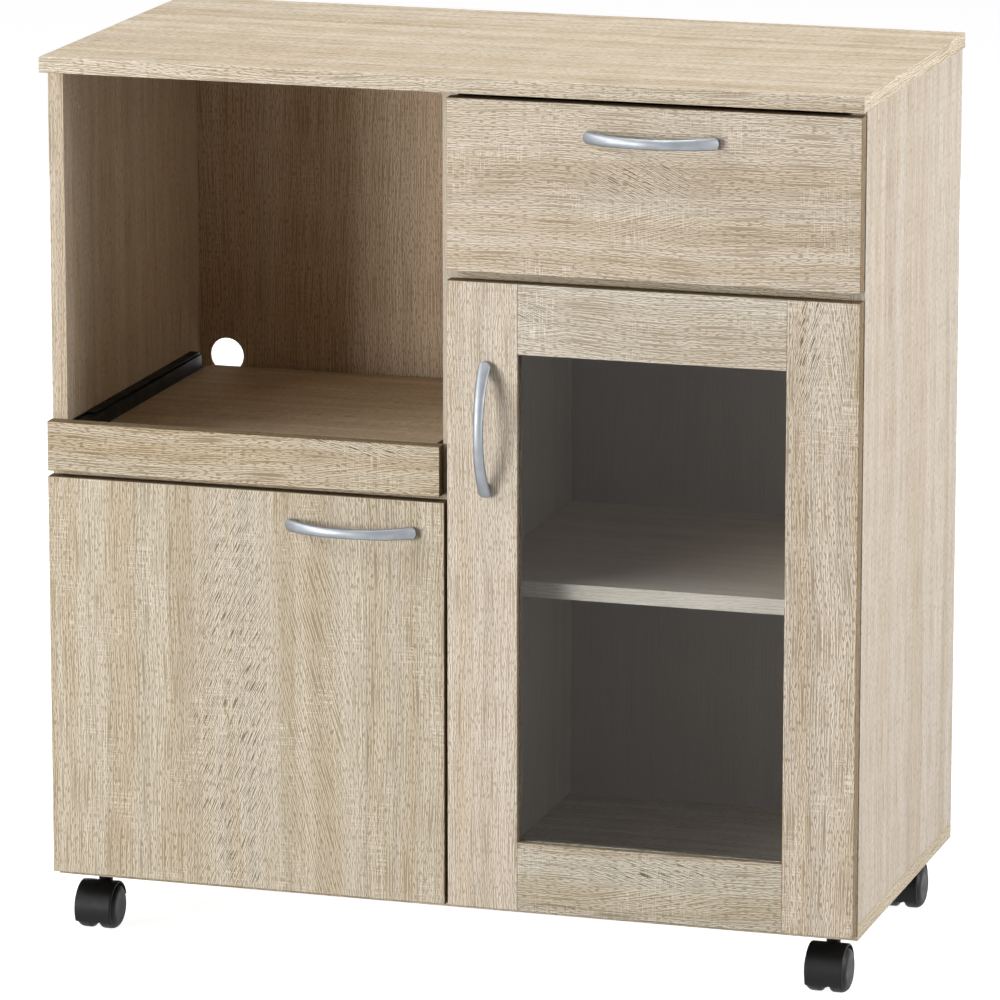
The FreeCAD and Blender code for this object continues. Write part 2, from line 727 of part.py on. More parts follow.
def caster_hood():
    inner = wheel_radius + hood_clearance
    outer = inner + hood_wall
    half = hood_width / 2
    web_half = wheel_inner - hood_web_clearance
    cap = rod(outer, axle_at - Vector(half, 0, 0), axle_at + Vector(half, 0, 0))
    cap = cap.makeFillet(hood_edge_round, [edge for edge in cap.Edges if edge.BoundBox.XLength < half])
    boss = rod(boss_radius, Vector(0, 0, axle_at.z), Vector(0, 0, boss_top))
    room = rod(inner, axle_at - Vector(wheel_outer, 0, 0), axle_at + Vector(wheel_outer, 0, 0))
    shell = joined(cap, boss).cut(room)
    y_front_edge = axle_at.y - outer
    y_rear_edge = axle_at.y + outer
    corners = [Vector(-wheel_outer, y_front_edge, -outer), Vector(-wheel_outer, y_rear_edge, -outer),
               Vector(-wheel_outer, y_rear_edge, hood_skirt_rear), Vector(-wheel_outer, y_front_edge, hood_skirt_front)]
    below = Part.Face(Part.makePolygon(corners + [corners[0]])).extrude(Vector(2 * wheel_outer, 0, 0))
    shell = shell.cut(below)
    web = rod(inner + hood_wall / 2, axle_at - Vector(web_half, 0, 0), axle_at + Vector(web_half, 0, 0))
    web = web.cut(block((-web_half, web_half), (y_front_edge, y_rear_edge), (-outer, hood_skirt_front)))
    hood = joined(shell, web)
    hood = hood.cut(rod(axle_radius, axle_at - Vector(web_half, 0, 0), axle_at + Vector(web_half, 0, 0)))
    stem_room = rod(stem_radius + running_clearance, Vector(0, 0, stem_foot - boss_gap), Vector(0, 0, boss_top))
    return hood.cut(stem_room)


caster_stems = []
caster_sockets = []
for name, x, y in caster_stands:
    foot = Vector(x, y, stem_foot)
    mouth = Vector(x, y, z_body)
    end = Vector(x, y, z_body + stem_in_panel)
    sleeve_radius = stem_radius + connector_clearance
    caster_stems.append(rod(stem_radius, foot, end))
    caster_sockets.append(tube(sleeve_radius + socket_wall, sleeve_radius, mouth, end))
    drill("bottom_panel", rod(sleeve_radius + socket_wall + connector_clearance, mouth, end))


def stand(solids, x, y):
    for solid in solids:
        solid.translate(Vector(x, y, 0))
    return solids


# Every piece to its own file

os.makedirs("parts", exist_ok=True)
for name, solid in boards.items():
    save(name, [solid.cut(holes[name])] if name in holes else [solid])
save("shelf_pins", shelf_pins)
save("carcass_dowels", dowels)
save("cam_bolts", cam_bolts)
save("cam_locks", cam_locks)
save("runner_screws", runner_screws)
save("pullout_dowels", pullout_dowels)
for name, pair in (("pullout", pullout_runners), ("drawer", drawer_runners)):
    save(name + "_cabinet_rails", pair[0])
    save(name + "_moving_rails", pair[1])
    save(name + "_front_rollers", pair[2])
    save(name + "_rear_rollers", pair[3])
for name, handle, screws in (("drawer", drawer_handle, drawer_handle_screws),
                             ("left_door", left_door_handle, left_door_handle_screws),
                             ("glass_door", glass_door_handle, glass_door_handle_screws)):
    save(name + "_handle", [handle])
    save(name + "_handle_screws", screws)
for name, hinges in (("left_door", left_hinges), ("glass_door", glass_hinges)):
    save(name + "_hinge_cups", hinges[0])
    save(name + "_hinge_links", hinges[1])
save("hinge_arms", left_hinges[2] + glass_hinges[2])
save("hinge_plates", left_hinges[3] + glass_hinges[3])
save("hinge_screws", hinge_screws)
save("caster_stems", caster_stems)
save("caster_sockets", caster_sockets)
for name, x, y in caster_stands:
    save("caster_hood_" + name, stand([caster_hood()], x, y))
    save("caster_wheels_" + name, stand(wheel_pair(), x, y))
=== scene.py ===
import math

import bpy
from mathutils import Matrix, Vector


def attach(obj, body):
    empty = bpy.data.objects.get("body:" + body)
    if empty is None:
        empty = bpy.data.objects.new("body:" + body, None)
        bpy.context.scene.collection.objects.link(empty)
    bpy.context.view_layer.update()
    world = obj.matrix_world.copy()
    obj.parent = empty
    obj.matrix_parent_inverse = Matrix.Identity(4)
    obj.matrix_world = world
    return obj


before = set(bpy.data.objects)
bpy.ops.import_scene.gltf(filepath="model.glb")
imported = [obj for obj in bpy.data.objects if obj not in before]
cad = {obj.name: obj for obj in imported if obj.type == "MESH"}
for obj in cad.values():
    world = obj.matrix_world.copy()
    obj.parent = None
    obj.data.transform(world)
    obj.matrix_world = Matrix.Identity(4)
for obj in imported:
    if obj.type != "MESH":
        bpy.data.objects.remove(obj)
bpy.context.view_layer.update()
print("frame loaded:", len(cad), "nodes")

mmPerMetre = 1000
# sockets of a Mix node that is set to colours: how much of the second, both colours, the result
mixShare, mixFirst, mixSecond, mixResult = 0, 6, 7, 2


def hexColour(code):
    parts = [int(code[i:i + 2], 16) / 255 for i in (0, 2, 4)]
    linear = [c / 12.92 if c <= 0.04045 else ((c + 0.055) / 1.055) ** 2.4 for c in parts]
    return (*linear, 1.0)


def addNode(tree, kind, inputs=None, **settings):
    node = tree.nodes.new(kind)
    for key, value in settings.items():
        setattr(node, key, value)
    for key, value in (inputs or {}).items():
        if isinstance(value, bpy.types.NodeSocket):
            tree.links.new(value, node.inputs[key])
        else:
            node.inputs[key].default_value = value
    return node


def startMaterial(name):
    material = bpy.data.materials.new(name)
    material.use_nodes = True
    tree = material.node_tree
    tree.nodes.clear()
    shader = addNode(tree, "ShaderNodeBsdfPrincipled")
    addNode(tree, "ShaderNodeOutputMaterial", {"Surface": shader.outputs["BSDF"]})
    return material, tree, shader


def dress(material, *names):
    for name in names:
        mesh = cad[name].data
        mesh.materials.clear()
        mesh.materials.append(material)


# Oak look foil on particle board: a printed paper of pale sawn oak under matt lacquer.
# The eye gets fine fibres under broad tan and grey bands, a flame of slanted pores and pale saw ticks.
oak = {
    "cream": "d2c5b0",
    "fibre": "e8ddcb",
    "shade": "a39277",
    "pore": "74644d",
    # the stains darken what lies under them
    "streakStain": "dcd2c2",
    "tanStain": "e6dac6",
    "greyStain": "e6e6e5",
    "edgeStain": "b3aa9c",    # browner edge band on the fronts, dark enough that it also paints the shade in the gaps between them
    "roughness": 0.6,
    "specular": 0.0,
    "poreDent": (0.2, 0.3),    # strength, depth in mm
    # slow bend and short wobble of the grain: across, along, sway in mm
    "drift": ((150, 330, 30), (22, 70, 3)),
    # how far a face may look along the board's thickness and still be an edge, or part of an eased rim
    "edgeTurn": 0.5,
    "rimTurn": 0.85,
    # lines of the print: lean, middle and half width as shares of the flame's
    "lines": {"straight": (0.0, 0.0, 1.0), "rising": (-1.0, -0.5, 0.5), "falling": (0.7, 0.4, 0.4)},
    # where the flame's zones start and are full, as shares of their size
    "flameFade": (1.25, 0.6),
    # colour, strength, lines, offset, across and along in mm, detail, noise level at its start and full
    # the pores are drawn about twice as wide as real ones, so that they show
    "layers": (
        ("fibre", 0.90, "straight", 0.7, 1.2, 6.0, 0.0, 0.50, 0.64),
        ("shade", 0.85, "straight", 0, 1.2, 6.0, 0.0, 0.50, 0.64),
        ("fibre", 0.50, "plain", 0.7, 1.0, 60, 0.0, 0.50, 0.68),
        ("shade", 0.80, "plain", 0, 1.0, 60, 0.0, 0.50, 0.68),
        ("fibre", 0.85, "rising", 0.6, 0.75, 17, 0.0, 0.55, 0.62),
        ("pore", 0.85, "rising", 0, 0.75, 17, 0.0, 0.58, 0.65),
        ("fibre", 0.80, "falling", 0.9, 1.2, 50, 0.0, 0.54, 0.64),
        ("shade", 0.80, "falling", 0, 1.2, 50, 0.0, 0.54, 0.64),
        ("streakStain", 0.26, "straight", 0, 3.4, 200, 2.0, 0.46, 0.66),
        ("tanStain", 0.42, "straight", 0, 26, 1500, 2.0, 0.42, 0.60),
        ("greyStain", 0.36, "straight", 400, 19, 900, 1.0, 0.50, 0.66),
    ),
    # saw ticks: rows of short pale dashes in loose patches, across and along in mm, noise levels as above
    "saw": ((26, 1.4, 0.56, 0.70), (1.4, 30, 0.42, 0.62), (46, 95, 0.54, 0.66)),
    # faces without the print: raw hardboard in two browns, with the size of its flecks in mm
    "bareFaces": {"hardboard": ("8f6f4e", "6e5138", 2.5)},
    "fleckRange": (0.35, 0.7),
    # flush nail heads that hold the backs: rows from the middle, pitch, radius in mm, solid share, colour
    "nails": ((3.6, 390.4), 88, 2.4, 0.8, "b9b6ae"),
}
# which board directions run across, through and along the print
boardTurn = {
    "uprightFront": Matrix(((1, 0, 0), (0, 1, 0), (0, 0, 1))),
    "acrossFront": Matrix(((0, 0, -1), (0, 1, 0), (1, 0, 0))),
    "side": Matrix(((0, -1, 0), (1, 0, 0), (0, 0, 1))),
    "flat": Matrix(((0, 1, 0), (0, 0, 1), (1, 0, 0))),
    "drawerSide": Matrix(((0, 0, 1), (1, 0, 0), (0, 1, 0))),
}


def oakFoil(name, sheet):
    material, tree, shader = startMaterial(name)
    coords = addNode(tree, "ShaderNodeTexCoord")
    turn = boardTurn[sheet["lies"]].to_euler()
    shift = sheet["shift"]
    meanSway = sum(sway for wide, tall, sway in oak["drift"]) / 2    # the noise is about a half on average
    laid = addNode(tree, "ShaderNodeMapping", {
        "Vector": coords.outputs["Object"], "Location": (shift[0] - meanSway, shift[1] - meanSway, shift[2]),
        "Rotation": turn, "Scale": (mmPerMetre, mmPerMetre, mmPerMetre)})
    facing = addNode(tree, "ShaderNodeMapping", {
        "Vector": coords.outputs["Normal"], "Rotation": turn}, vector_type="VECTOR")
    spots = addNode(tree, "ShaderNodeSeparateXYZ", {0: laid.outputs[0]})
    ways = addNode(tree, "ShaderNodeSeparateXYZ", {0: facing.outputs[0]})
    # edge bands: on edges and ends the print runs the long way round
    onEdge, offEnd = [addNode(tree, "ShaderNodeMath", {
        0: ways.outputs[i], 1: 0.0, 2: oak["edgeTurn"]}, operation="COMPARE").outputs[0] for i in (1, 2)]
    across = addNode(tree, "ShaderNodeMix", {0: onEdge, 2: spots.outputs[0], 3: spots.outputs[1]})
    along = addNode(tree, "ShaderNodeMix", {0: offEnd, 2: spots.outputs[0], 3: spots.outputs[2]})
    place = addNode(tree, "ShaderNodeCombineXYZ", {
        0: across.outputs[0], 1: spots.outputs[1], 2: along.outputs[0]}).outputs[0]
    for wide, tall, sway in oak["drift"]:
        size = addNode(tree, "ShaderNodeVectorMath", {
            0: place, 1: (1 / wide, 1 / wide, 1 / tall)}, operation="MULTIPLY")
        noise = addNode(tree, "ShaderNodeTexNoise", {"Vector": size.outputs[0], "Scale": 1.0, "Detail": 1.0})
        place = addNode(tree, "ShaderNodeVectorMath", {
            0: noise.outputs["Color"], 1: (sway, sway, 0), 2: place}, operation="MULTIPLY_ADD").outputs[0]
    axes = addNode(tree, "ShaderNodeSeparateXYZ", {0: place})

    # the flame: two zones of slanted lines, with plain lines around them
    centre, middle, width, length, slant = sheet["flame"]
    fadeStart, fadeFull = oak["flameFade"]
    follow = {}
    zone = {}
    for lines, (leanShare, middleShare, widthShare) in oak["lines"].items():
        leaning = addNode(tree, "ShaderNodeMath", {
            0: axes.outputs[2], 1: slant * leanShare, 2: axes.outputs[0]}, operation="MULTIPLY_ADD")
        follow[lines] = addNode(tree, "ShaderNodeCombineXYZ", {
            0: leaning.outputs[0], 1: axes.outputs[2]}).outputs[0]
        if leanShare:
            heart = (centre + shift[0] + middleShare * width, 0, middle + shift[2])
            away = addNode(tree, "ShaderNodeVectorMath", {0: place, 1: heart}, operation="SUBTRACT")
            part = addNode(tree, "ShaderNodeVectorMath", {
                0: away.outputs[0], 1: (1 / (widthShare * width), 0, 1 / length)}, operation="MULTIPLY")
            far = addNode(tree, "ShaderNodeVectorMath", {0: part.outputs[0]}, operation="LENGTH")
            zone[lines] = addNode(tree, "ShaderNodeMapRange", {
                "Value": far.outputs["Value"], "From Min": fadeStart, "From Max": fadeFull}).outputs[0]
    slanted = addNode(tree, "ShaderNodeMath", {
        0: zone["rising"], 1: zone["falling"]}, operation="ADD", use_clamp=True)
    zone["plain"] = addNode(tree, "ShaderNodeMath", {
        0: 1.0, 1: slanted.outputs[0]}, operation="SUBTRACT").outputs[0]
    follow["plain"] = follow["straight"]

    colour = hexColour(oak["cream"])
    for tone, amount, lines, offset, wide, tall, detail, begin, full in oak["layers"]:
        size = addNode(tree, "ShaderNodeVectorMath", {
            0: follow[lines], 1: (1 / wide, 1 / tall, 0), 2: (offset / wide, 0, 0)},
            operation="MULTIPLY_ADD")
        noise = addNode(tree, "ShaderNodeTexNoise", {
            "Vector": size.outputs[0], "Scale": 1.0, "Detail": detail}, noise_dimensions="2D")
        mask = addNode(tree, "ShaderNodeMapRange", {
            "Value": noise.outputs["Fac"], "From Min": begin, "From Max": full,
            "To Max": amount * sheet["contrast"]}).outputs[0]
        if lines in zone:
            mask = addNode(tree, "ShaderNodeMath", {
                0: mask, 1: zone[lines]}, operation="MULTIPLY").outputs[0]
        if tone == "pore":
            pores = mask
        colour = addNode(tree, "ShaderNodeMix", {
            mixShare: mask, mixFirst: colour, mixSecond: hexColour(oak[tone])}, data_type="RGBA",
            blend_type="MULTIPLY" if "Stain" in tone else "MIX").outputs[mixResult]

    ticks = sheet["saw"]
    for wide, tall, begin, full in oak["saw"]:
        size = addNode(tree, "ShaderNodeVectorMath", {
            0: follow["straight"], 1: (1 / wide, 1 / tall, 0)}, operation="MULTIPLY")
        noise = addNode(tree, "ShaderNodeTexNoise", {
            "Vector": size.outputs[0], "Scale": 1.0, "Detail": 0.0}, noise_dimensions="2D")
        ticks = addNode(tree, "ShaderNodeMapRange", {
            "Value": noise.outputs["Fac"], "From Min": begin, "From Max": full, "To Max": ticks}).outputs[0]
    colour = addNode(tree, "ShaderNodeMix", {
        mixShare: ticks, mixFirst: colour, mixSecond: hexColour(oak["fibre"])},
        data_type="RGBA").outputs[mixResult]
    colour = addNode(tree, "ShaderNodeMix", {
        mixShare: 1.0, mixFirst: colour, mixSecond: (*sheet["tint"], 1.0)},
        data_type="RGBA", blend_type="MULTIPLY").outputs[mixResult]

    # painted shade: the fronts' edge faces are darkened by the edge band's colour, partly the real band and
    # partly standing for the shade in the gaps between fronts
    if sheet.get("rim"):
        rim = addNode(tree, "ShaderNodeMath", {
            0: ways.outputs[1], 1: 0.0, 2: oak["rimTurn"]}, operation="COMPARE")
        colour = addNode(tree, "ShaderNodeMix", {
            mixShare: rim.outputs[0], mixFirst: colour, mixSecond: hexColour(oak["edgeStain"])},
            data_type="RGBA", blend_type="MULTIPLY").outputs[mixResult]

    if "bare" in sheet:
        bareFace, bareSide = sheet["bare"]
        pale, dark, fleck = oak["bareFaces"][bareFace]
        fleckStart, fleckFull = oak["fleckRange"]
        flecks = addNode(tree, "ShaderNodeTexNoise", {
            "Vector": coords.outputs["Object"], "Scale": mmPerMetre / fleck, "Detail": 3.0})
        speckled = addNode(tree, "ShaderNodeMapRange", {
            "Value": flecks.outputs["Fac"], "From Min": fleckStart, "From Max": fleckFull})
        board = addNode(tree, "ShaderNodeMix", {
            mixShare: speckled.outputs[0], mixFirst: hexColour(dark), mixSecond: hexColour(pale)},
            data_type="RGBA").outputs[mixResult]
        if sheet.get("nailed"):
            rows, pitch, radius, solid, steel = oak["nails"]
            spot = addNode(tree, "ShaderNodeSeparateXYZ", {0: coords.outputs["Object"]})
            level = addNode(tree, "ShaderNodeMath", {
                0: spot.outputs[2], 1: pitch / 2 / mmPerMetre}, operation="PINGPONG")
            half = addNode(tree, "ShaderNodeMath", {0: spot.outputs[0]}, operation="ABSOLUTE")
            away = [addNode(tree, "ShaderNodeMath", {
                0: half.outputs[0], 1: row / mmPerMetre}, operation="SUBTRACT") for row in rows]
            gaps = [addNode(tree, "ShaderNodeMath", {
                0: node.outputs[0]}, operation="ABSOLUTE") for node in away]
            near = addNode(tree, "ShaderNodeMath", {
                0: gaps[0].outputs[0], 1: gaps[1].outputs[0]}, operation="MINIMUM")
            span = addNode(tree, "ShaderNodeCombineXYZ", {0: near.outputs[0], 1: level.outputs[0]})
            reach = addNode(tree, "ShaderNodeVectorMath", {0: span.outputs[0]}, operation="LENGTH")
            head = addNode(tree, "ShaderNodeMapRange", {
                "Value": reach.outputs["Value"], "From Min": radius / mmPerMetre,
                "From Max": radius * solid / mmPerMetre})
            board = addNode(tree, "ShaderNodeMix", {
                mixShare: head.outputs[0], mixFirst: board, mixSecond: hexColour(steel)},
                data_type="RGBA").outputs[mixResult]
        toward = addNode(tree, "ShaderNodeVectorMath", {
            0: coords.outputs["Normal"], 1: bareSide}, operation="DOT_PRODUCT")
        raw = addNode(tree, "ShaderNodeMath", {
            0: toward.outputs["Value"], 1: oak["edgeTurn"]}, operation="GREATER_THAN")
        colour = addNode(tree, "ShaderNodeMix", {
            mixShare: raw.outputs[0], mixFirst: colour, mixSecond: board},
            data_type="RGBA").outputs[mixResult]

    strength, depth = oak["poreDent"]
    dent = addNode(tree, "ShaderNodeBump", {
        "Height": pores, "Strength": strength, "Distance": depth / mmPerMetre}, invert=True)
    tree.links.new(colour, shader.inputs["Base Color"])
    tree.links.new(dent.outputs[0], shader.inputs["Normal"])
    shader.inputs["Roughness"].default_value = oak["roughness"]
    shader.inputs["Specular IOR Level"].default_value = oak["specular"]
    return material


# For each board: how its sheet lies, where it is cut from, the flame (centre across and along, width,
# half length, lean of its pores), how strong the lines and the saw ticks are, and its tint.
# Other boards may share the sheet, a rim gets the darker edge band, which also paints the shade in the gaps,
# and a bare face has no print.
plainTint = (1.0, 1.0, 1.0)
boardSheets = {
    "top_panel": {
        "lies": "flat", "shift": (40, 300, -120), "flame": (-60, -500, 60, 200, 0.2),
        "contrast": 1.0, "saw": 0.3, "tint": (1.12, 1.13, 1.17)},
    "left_side_panel": {
        "lies": "side", "shift": (140, 560, 90), "flame": (-420, 400, 60, 200, 0.2),
        "contrast": 0.8, "saw": 0.3, "tint": (1.02, 1.0, 1.02)},
    "right_side_panel": {
        "lies": "side", "shift": (-90, 220, 400), "flame": (-600, 400, 60, 200, 0.2),
        "contrast": 0.8, "saw": 0.2, "tint": (1.04, 1.07, 1.19)},
    "centre_partition": {
        "lies": "side", "shift": (30, 700, 10), "flame": (-500, 400, 60, 200, 0.2),
        "contrast": 0.35, "saw": 0.2, "tint": (0.95, 0.97, 1.02)},
    "bottom_panel": {
        "shared": ("bay_floor", "drawer_divider"),
        "lies": "flat", "shift": (500, 90, 60), "flame": (260, 0, 60, 200, 0.2),
        "contrast": 0.9, "saw": 0.4, "tint": plainTint},
    # painted light: the shelf's lighter tint stands for the light that falls on its front edge behind the
    # glass
    "cabinet_shelf": {
        "lies": "flat", "shift": (40, 330, 610), "flame": (300, 0, 60, 200, 0.2),
        "contrast": 0.4, "saw": 0.3, "tint": (1.22, 1.18, 1.11)},
    "pullout_board": {
        "lies": "flat", "shift": (720, 15, 250), "flame": (20, -200, 60, 200, 0.2),
        "contrast": 0.8, "saw": 0.4, "tint": (1.03, 0.98, 0.95)},
    "pullout_front_strip": {
        "lies": "acrossFront", "shift": (90, 480, 30), "flame": (-490, -80, 30, 60, 0.3),
        "contrast": 1.2, "saw": 0.5, "tint": plainTint, "rim": True},
    "drawer_front": {
        "lies": "acrossFront", "shift": (260, 610, 340), "flame": (-752, 190, 46, 60, 0.45),
        "contrast": 1.0, "saw": 0.55, "tint": (1.14, 1.15, 1.21), "rim": True},
    "left_door_panel": {
        "lies": "uprightFront", "shift": (0, 120, 0), "flame": (-168, 250, 92, 260, 0.42),
        "contrast": 1.0, "saw": 0.6, "tint": (1.05, 1.07, 1.1), "rim": True},
    "glass_door_handle_stile": {
        "lies": "uprightFront", "shift": (45, 310, 500), "flame": (-120, 300, 60, 100, 0.2),
        "contrast": 0.9, "saw": 0.3, "tint": (1.18, 1.19, 1.27), "rim": True},
    "glass_door_hinge_stile": {
        "lies": "uprightFront", "shift": (610, 80, 160), "flame": (368, 640, 30, 90, 0.3),
        "contrast": 1.1, "saw": 0.6, "tint": (1.17, 1.18, 1.25), "rim": True},
    "glass_door_top_rail": {
        "lies": "acrossFront", "shift": (820, 260, 70), "flame": (-635, 60, 20, 60, 0.3),
        "contrast": 1.0, "saw": 0.6, "tint": (1.12, 1.18, 1.3), "rim": True},
    "glass_door_bottom_rail": {
        "lies": "acrossFront", "shift": (410, 700, 220), "flame": (-98, 200, 30, 70, 0.3),
        "contrast": 1.1, "saw": 0.6, "tint": (1.0, 1.05, 1.11), "rim": True},
    "back_panel_left": {
        "lies": "uprightFront", "shift": (250, 900, 300), "flame": (-150, 300, 60, 200, 0.2),
        "contrast": 0.9, "saw": 0.4, "tint": (1.07, 0.97, 0.93),
        "bare": ("hardboard", (0, 1, 0)), "nailed": True},
    # painted shade: the darker, greyer tint stands for the shade at the back of the glazed cabinet
    "back_panel_right": {
        "lies": "uprightFront", "shift": (700, 900, 100), "flame": (-150, 300, 60, 200, 0.2),
        "contrast": 0.2, "saw": 0.1, "tint": (0.86, 0.86, 0.92),
        "bare": ("hardboard", (0, 1, 0)), "nailed": True},
    "drawer_bottom": {
        "lies": "flat", "shift": (150, 90, 800), "flame": (400, 0, 60, 200, 0.2),
        "contrast": 0.7, "saw": 0.3, "tint": plainTint, "bare": ("hardboard", (0, 0, -1))},
    "drawer_left_side": {
        "shared": ("drawer_right_side", "drawer_back"),
        "lies": "drawerSide", "shift": (50, 390, 200), "flame": (300, 0, 60, 200, 0.2),
        "contrast": 0.5, "saw": 0.2, "tint": plainTint},
}
for board, sheet in boardSheets.items():
    dress(oakFoil("oakFoil_" + board, sheet), board, *sheet.get("shared", ()))
print("boards dressed")


# Fittings: two close tones in patches, how the sheen varies with them, and a fine skin of dents; sizes in mm
finishes = {
    # grey silver with a soft sheen along its bow
    "satinNickel": {"tones": ("94989d", "898d92"), "metallic": 1.0, "sheen": (0.44, 0.52),
                    "specular": 0.5, "patch": 14, "skin": 0.6, "dent": 0.02},
    # dull black with the slight orange peel of baked powder
    "blackPowderCoat": {"tones": ("121212", "0d0d0d"), "metallic": 0.0, "sheen": (0.42, 0.55),
                        "specular": 0.22, "patch": 20, "skin": 0.9, "dent": 0.06},
    # bright plated steel, a little cloudy
    "zincPlatedSteel": {"tones": ("c3c4c3", "aeb0b1"), "metallic": 1.0, "sheen": (0.24, 0.36),
                        "specular": 0.5, "patch": 6, "skin": 0.4, "dent": 0.02},
    # duller grey with a cast skin
    "dieCastZinc": {"tones": ("a5a5a1", "8e8e8b"), "metallic": 1.0, "sheen": (0.45, 0.6),
                    "specular": 0.5, "patch": 4, "skin": 0.5, "dent": 0.06},
    # black moulded casters with a spark-worn grain that breaks the highlights
    "blackNylon": {"tones": ("0f0f10", "0a0a0b"), "metallic": 0.0, "sheen": (0.42, 0.55),
                   "specular": 0.22, "patch": 12, "skin": 0.7, "dent": 0.08},
    # waxy pale rollers
    "paleNylon": {"tones": ("c9c9c3", "bdbdb6"), "metallic": 0.0, "sheen": (0.4, 0.5),
                  "specular": 0.4, "patch": 8, "skin": 0.5, "dent": 0.02},
    # short pores on turned dowels
    "turnedBeech": {"tones": ("cda97a", "b98f5e"), "metallic": 0.0, "sheen": (0.55, 0.7),
                    "specular": 0.3, "patch": 2, "skin": 0.4, "dent": 0.05},
    # unlit bottom of a screw's cross
    "recessShade": {"tones": ("2a2a2b", "1d1d1e"), "metallic": 0.6, "sheen": (0.5, 0.7),
                    "specular": 0.3, "patch": 1, "skin": 0.3, "dent": 0.02},
}
patchRange = (0.35, 0.65)
skinStrength = 0.5
fitting = {}
for name, plan in finishes.items():
    material, tree, shader = startMaterial(name)
    coords = addNode(tree, "ShaderNodeTexCoord")
    patches = addNode(tree, "ShaderNodeTexNoise", {
        "Vector": coords.outputs["Object"], "Scale": mmPerMetre / plan["patch"], "Detail": 3.0})
    cloudy = addNode(tree, "ShaderNodeMapRange", {
        "Value": patches.outputs["Fac"], "From Min": patchRange[0], "From Max": patchRange[1]})
    firstTone, secondTone = [hexColour(code) for code in plan["tones"]]
    tone = addNode(tree, "ShaderNodeMix", {
        mixShare: cloudy.outputs[0], mixFirst: firstTone, mixSecond: secondTone}, data_type="RGBA")
    sheen = addNode(tree, "ShaderNodeMapRange", {
        "Value": cloudy.outputs[0], "To Min": plan["sheen"][0], "To Max": plan["sheen"][1]})
    skin = addNode(tree, "ShaderNodeTexNoise", {
        "Vector": coords.outputs["Object"], "Scale": mmPerMetre / plan["skin"], "Detail": 1.0})
    dents = addNode(tree, "ShaderNodeBump", {
        "Height": skin.outputs["Fac"], "Strength": skinStrength, "Distance": plan["dent"] / mmPerMetre})
    tree.links.new(tone.outputs[mixResult], shader.inputs["Base Color"])
    tree.links.new(sheen.outputs[0], shader.inputs["Roughness"])
    tree.links.new(dents.outputs[0], shader.inputs["Normal"])
    shader.inputs["Metallic"].default_value = plan["metallic"]
    shader.inputs["Specular IOR Level"].default_value = plan["specular"]
    fitting[name] = material

dress(fitting["turnedBeech"], "carcass_dowels", "pullout_dowels")
dress(fitting["satinNickel"], "drawer_handle", "left_door_handle", "glass_door_handle")
dress(fitting["blackPowderCoat"], "pullout_cabinet_rails", "pullout_moving_rails",
      "drawer_cabinet_rails", "drawer_moving_rails")
dress(fitting["zincPlatedSteel"], "cam_bolts", "runner_screws", "hinge_arms", "hinge_plates", "hinge_screws",
      "shelf_pins", "caster_stems", "drawer_handle_screws", "left_door_handle_screws",
      "glass_door_handle_screws", "left_door_hinge_cups", "left_door_hinge_links",
      "glass_door_hinge_cups", "glass_door_hinge_links")
dress(fitting["dieCastZinc"], "cam_locks")
dress(fitting["blackNylon"], "caster_sockets",
      *[node for node in cad if node.startswith(("caster_hood", "caster_wheels"))])
dress(fitting["paleNylon"], "pullout_front_rollers", "pullout_rear_rollers",
      "drawer_front_rollers", "drawer_rear_rollers")

# Lightly smoked float glass: mirror smooth apart from faint wiping marks, lets most light through
pane = {
    "tone": "d0d9e6",
    "index": 1.22,    # below real glass, since the pane shows little of its surroundings
    "shadow": 0.08,    # share of the lamps' light that it stops
    "wipe": 125,    # size of the wiping marks in mm
    "wipeRange": (0.4, 0.7),
    "wipeRoughness": 0.03,
}
glassMaterial, glassTree, glassShader = startMaterial("smokedFloatGlass")
glassShader.inputs["Base Color"].default_value = hexColour(pane["tone"])
glassShader.inputs["IOR"].default_value = pane["index"]
glassShader.inputs["Transmission Weight"].default_value = 1.0
glassPaths = addNode(glassTree, "ShaderNodeLightPath")
shadowPass = addNode(glassTree, "ShaderNodeMath", {
    0: glassPaths.outputs["Is Shadow Ray"], 1: pane["shadow"] - 1, 2: 1.0}, operation="MULTIPLY_ADD")
glassTree.links.new(shadowPass.outputs[0], glassShader.inputs["Alpha"])
glassCoords = addNode(glassTree, "ShaderNodeTexCoord")
haze = addNode(glassTree, "ShaderNodeTexNoise", {
    "Vector": glassCoords.outputs["Object"], "Scale": mmPerMetre / pane["wipe"], "Detail": 2.0})
wiped = addNode(glassTree, "ShaderNodeMapRange", {
    "Value": haze.outputs["Fac"], "From Min": pane["wipeRange"][0], "From Max": pane["wipeRange"][1],
    "To Max": pane["wipeRoughness"]})
glassTree.links.new(wiped.outputs[0], glassShader.inputs["Roughness"])
dress(glassMaterial, "glass_pane")
print("fittings dressed")

